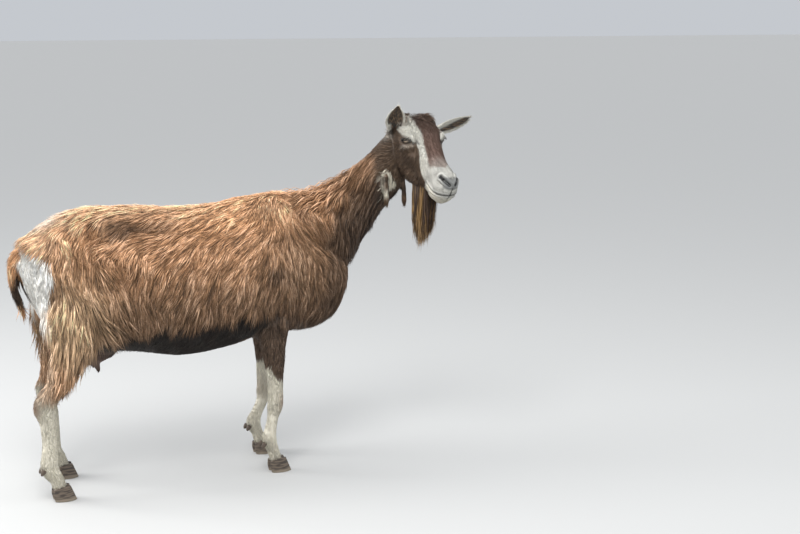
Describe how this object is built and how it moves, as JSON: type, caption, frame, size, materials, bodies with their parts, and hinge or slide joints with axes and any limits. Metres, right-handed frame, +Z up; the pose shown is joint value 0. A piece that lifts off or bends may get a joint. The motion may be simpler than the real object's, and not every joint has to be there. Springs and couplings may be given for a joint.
{
  "type": "goat, standing dairy doe with a long coat",
  "caption": "Life-size long-haired dairy goat standing square with its head turned to its right, for a museum or diorama; a still model without joints.",
  "frame": {"origin": "on the floor under the middle of the bounding box", "axes": "+X towards the breast, +Y to the goat's left, +Z up"},
  "size_m": [1.3056, 0.4834, 1.0205],
  "materials": {
    "long_tan_coat": "long shaggy ginger-tan hair, paler at the tips and near black under the belly",
    "brown_coat": "brown hair with cream face stripes and muzzle",
    "short_cream_hair": "short cream-white hair",
    "bare_skin": "thinly haired skin",
    "hoof": "dull horn",
    "eye": "wet, pale amber with a level dark pupil"
  },
  "bodies": {
    "root": {"torso": "long_tan_coat", "neck": "brown_coat", "head": "brown_coat", "eye_L": "eye", "ear_L": "short_cream_hair", "wattle_L": "short_cream_hair", "eye_R": "eye", "ear_R": "short_cream_hair", "wattle_R": "short_cream_hair", "beard": "brown_coat", "tail": "long_tan_coat", "foreleg_R_upper": "brown_coat", "foreleg_R_lower": "short_cream_hair", "foreleg_R_claw_L": "hoof", "foreleg_R_claw_R": "hoof", "foreleg_L_upper": "brown_coat", "foreleg_L_lower": "short_cream_hair", "foreleg_L_claw_L": "hoof", "foreleg_L_claw_R": "hoof", "hindleg_R_upper": "long_tan_coat", "hindleg_R_lower": "short_cream_hair", "hindleg_R_claw_L": "hoof", "hindleg_R_claw_R": "hoof", "hindleg_L_upper": "long_tan_coat", "hindleg_L_lower": "short_cream_hair", "hindleg_L_claw_L": "hoof", "hindleg_L_claw_R": "hoof", "udder": "bare_skin"}
  },
  "joints": []
}
